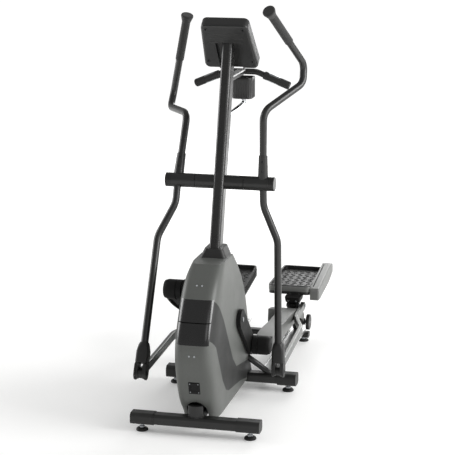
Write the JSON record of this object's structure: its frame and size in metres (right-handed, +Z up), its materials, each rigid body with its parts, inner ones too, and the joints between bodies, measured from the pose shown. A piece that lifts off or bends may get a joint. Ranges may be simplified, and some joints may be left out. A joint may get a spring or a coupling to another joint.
{
  "type": "elliptical trainer",
  "caption": "Free-standing elliptical trainer with a front drive housing, swinging handles, level foot pedals on roller rails and a console on a leaning mast.",
  "frame": {"origin": "on the floor, in the middle of the whole machine", "axes": "+Z up, +Y from the drive housing rearward to the pedals, +X to the right as seen from in front of the housing"},
  "size_m": [0.6586, 1.7507, 1.7162],
  "materials": {
    "frame_steel": "satin charcoal powder coat",
    "cap_plastic": "fine grained black moulding",
    "housing_grey": "fine grained mid grey moulding",
    "band_gloss": "smoked gloss moulding",
    "panel_dark": "fine grained dark grey moulding",
    "cover_silver": "silver-grey painted moulding",
    "bar_silver": "satin silver",
    "chrome_tube": "bright chrome",
    "steel_bright": "turned and zinc plated",
    "cast_wheel": "machined and blackened",
    "rubber_black": "moulded rubber",
    "grip_foam": "soft foam sleeve",
    "pulley_plastic": "moulded nylon",
    "screen_glass": "dark display window",
    "board_green": "lacquered circuit board",
    "key_red": "moulded key"
  },
  "bodies": {
    "frame": {"front_stabilizer": "frame_steel", "front_stabilizer_caps": "cap_plastic", "mid_crossbar": "frame_steel", "rear_crossbar": "frame_steel", "crossbar_caps": "cap_plastic", "levelling_feet": "rubber_black", "main_frame": "frame_steel", "rail_carriers": "frame_steel", "roller_rails": "bar_silver", "mast": "frame_steel", "mast_collar": "cap_plastic", "housing_right": "housing_grey", "housing_left": "housing_grey", "front_band": "band_gloss", "side_panels": "panel_dark", "inlet_plate": "pulley_plastic", "housing_screws": "steel_bright", "pivot_sleeve": "frame_steel", "pivot_axle": "steel_bright", "crank_bearings": "steel_bright", "drive_belt": "rubber_black", "brake_servo": "cap_plastic", "console_rear": "cap_plastic", "console_face": "cap_plastic", "console_screen": "screen_glass", "circuit_board": "board_green", "fixed_handlebar": "frame_steel", "pulse_grips": "cap_plastic", "bottle_holder": "cap_plastic", "holder_tube": "chrome_tube"},
    "crank": {"crank_axle": "steel_bright", "drive_pulley": "pulley_plastic", "crank_arms": "cap_plastic"},
    "flywheel": {"flywheel": "cast_wheel"},
    "idler": {"idler_wheel": "pulley_plastic"},
    "brake": {"brake_shoe": "cast_wheel"},
    "right_carriage": {"right_roller_axle": "steel_bright"},
    "right_roller": {"right_roller": "rubber_black"},
    "right_link": {"right_link_beam": "cap_plastic", "right_link_cover": "cover_silver"},
    "right_pedal": {"right_pedal": "cap_plastic", "right_pedal_guard": "cover_silver"},
    "right_handle": {"right_handle_arm": "frame_steel", "right_handle_upper": "frame_steel", "right_grip": "grip_foam"},
    "right_control_bar": {"right_control_bar": "bar_silver"},
    "left_carriage": {"left_roller_axle": "steel_bright"},
    "left_roller": {"left_roller": "rubber_black"},
    "left_link": {"left_link_beam": "cap_plastic", "left_link_cover": "cover_silver"},
    "left_pedal": {"left_pedal": "cap_plastic", "left_pedal_guard": "cover_silver"},
    "left_handle": {"left_handle_arm": "frame_steel", "left_handle_upper": "frame_steel", "left_grip": "grip_foam"},
    "left_control_bar": {"left_control_bar": "bar_silver"},
    "key_start": {"key_start": "key_red"},
    "key_down": {"key_down": "cap_plastic"},
    "key_up": {"key_up": "cap_plastic"}
  },
  "joints": [
    {"name": "crank_turn", "type": "hinge", "parent": "frame", "child": "crank", "pos_m": [0, -0.416, 0.383], "axis": [1, 0, 0], "continuous": true},
    {"name": "flywheel_spin", "type": "hinge", "parent": "frame", "child": "flywheel", "pos_m": [0, -0.718, 0.345], "axis": [1, 0, 0], "continuous": true},
    {"name": "idler_spin", "type": "hinge", "parent": "frame", "child": "idler", "pos_m": [0, -0.58656, 0.25677], "axis": [1, 0, 0], "continuous": true},
    {"name": "brake_swing", "type": "hinge", "parent": "frame", "child": "brake", "pos_m": [0, -0.66065, 0.47381], "axis": [1, 0, 0], "range_deg": [-8, 0]},
    {"name": "right_stride", "type": "slide", "parent": "frame", "child": "right_carriage", "axis": [0, 1, 0], "range_m": [-0.495, 0]},
    {"name": "left_stride", "type": "slide", "parent": "frame", "child": "left_carriage", "axis": [0, 1, 0], "range_m": [0, 0.495]},
    {"name": "right_roller_spin", "type": "hinge", "parent": "right_carriage", "child": "right_roller", "pos_m": [0, 0.59666, 0.0903], "axis": [1, 0, 0], "range_deg": [0, 746.36]},
    {"name": "right_link_pitch", "type": "hinge", "parent": "right_carriage", "child": "right_link", "pos_m": [0, 0.59666, 0.0903], "axis": [1, 0, 0], "range_deg": [-24.49, 0]},
    {"name": "right_pedal_tilt", "type": "hinge", "parent": "right_link", "child": "right_pedal", "pos_m": [0, 0.45522, 0.21058], "axis": [1, 0, 0], "range_deg": [0, 32.49]},
    {"name": "right_handle_swing", "type": "hinge", "parent": "frame", "child": "right_handle", "pos_m": [0, -0.3937, 0.9705], "axis": [1, 0, 0], "range_deg": [-30.61, 0]},
    {"name": "right_bar_pivot", "type": "hinge", "parent": "right_handle", "child": "right_control_bar", "pos_m": [0, -0.33946, 0.13935], "axis": [1, 0, 0], "range_deg": [0, 27.72]},
    {"name": "left_roller_spin", "type": "hinge", "parent": "left_carriage", "child": "left_roller", "pos_m": [0, 0.10105, 0.0903], "axis": [1, 0, 0], "range_deg": [-746.36, 0]},
    {"name": "left_link_pitch", "type": "hinge", "parent": "left_carriage", "child": "left_link", "pos_m": [0, 0.10105, 0.0903], "axis": [1, 0, 0], "range_deg": [0, 24.49]},
    {"name": "left_pedal_tilt", "type": "hinge", "parent": "left_link", "child": "left_pedal", "pos_m": [0, 0.02218, 0.25838], "axis": [1, 0, 0], "range_deg": [-32.49, 0]},
    {"name": "left_handle_swing", "type": "hinge", "parent": "frame", "child": "left_handle", "pos_m": [0, -0.3937, 0.9705], "axis": [1, 0, 0], "range_deg": [0, 30.61]},
    {"name": "left_bar_pivot", "type": "hinge", "parent": "left_handle", "child": "left_control_bar", "pos_m": [0, -0.7701, 0.22749], "axis": [1, 0, 0], "range_deg": [-27.72, 0]},
    {"name": "key_start_press", "type": "slide", "parent": "frame", "child": "key_start", "axis": [0, -0.7771, -0.6293], "range_m": [0, 0.0015], "stiffness_N_per_m": 400},
    {"name": "key_down_press", "type": "slide", "parent": "frame", "child": "key_down", "axis": [0, -0.7771, -0.6293], "range_m": [0, 0.0015], "stiffness_N_per_m": 400},
    {"name": "key_up_press", "type": "slide", "parent": "frame", "child": "key_up", "axis": [0, -0.7771, -0.6293], "range_m": [0, 0.0015], "stiffness_N_per_m": 400}
  ],
  "couplings": [
    {"joint": "flywheel_spin", "follows": "crank_turn", "ratio": 5.8333},
    {"joint": "idler_spin", "follows": "crank_turn", "ratio": -6.3636},
    {"joint": "left_stride", "follows": "right_stride", "ratio": -1},
    {"joint": "right_roller_spin", "follows": "right_stride", "rad_per_m": -26.316},
    {"joint": "right_link_pitch", "follows": "right_stride", "rad_per_m": 0.86324},
    {"joint": "right_pedal_tilt", "follows": "right_stride", "rad_per_m": -1.1453},
    {"joint": "right_handle_swing", "follows": "right_stride", "rad_per_m": 1.0789},
    {"joint": "right_bar_pivot", "follows": "right_stride", "rad_per_m": -0.97707},
    {"joint": "left_roller_spin", "follows": "right_stride", "rad_per_m": 26.316},
    {"joint": "left_link_pitch", "follows": "right_stride", "rad_per_m": -0.86324},
    {"joint": "left_pedal_tilt", "follows": "right_stride", "rad_per_m": 1.1453},
    {"joint": "left_handle_swing", "follows": "right_stride", "rad_per_m": -1.0789},
    {"joint": "left_bar_pivot", "follows": "right_stride", "rad_per_m": 0.97707}
  ]
}
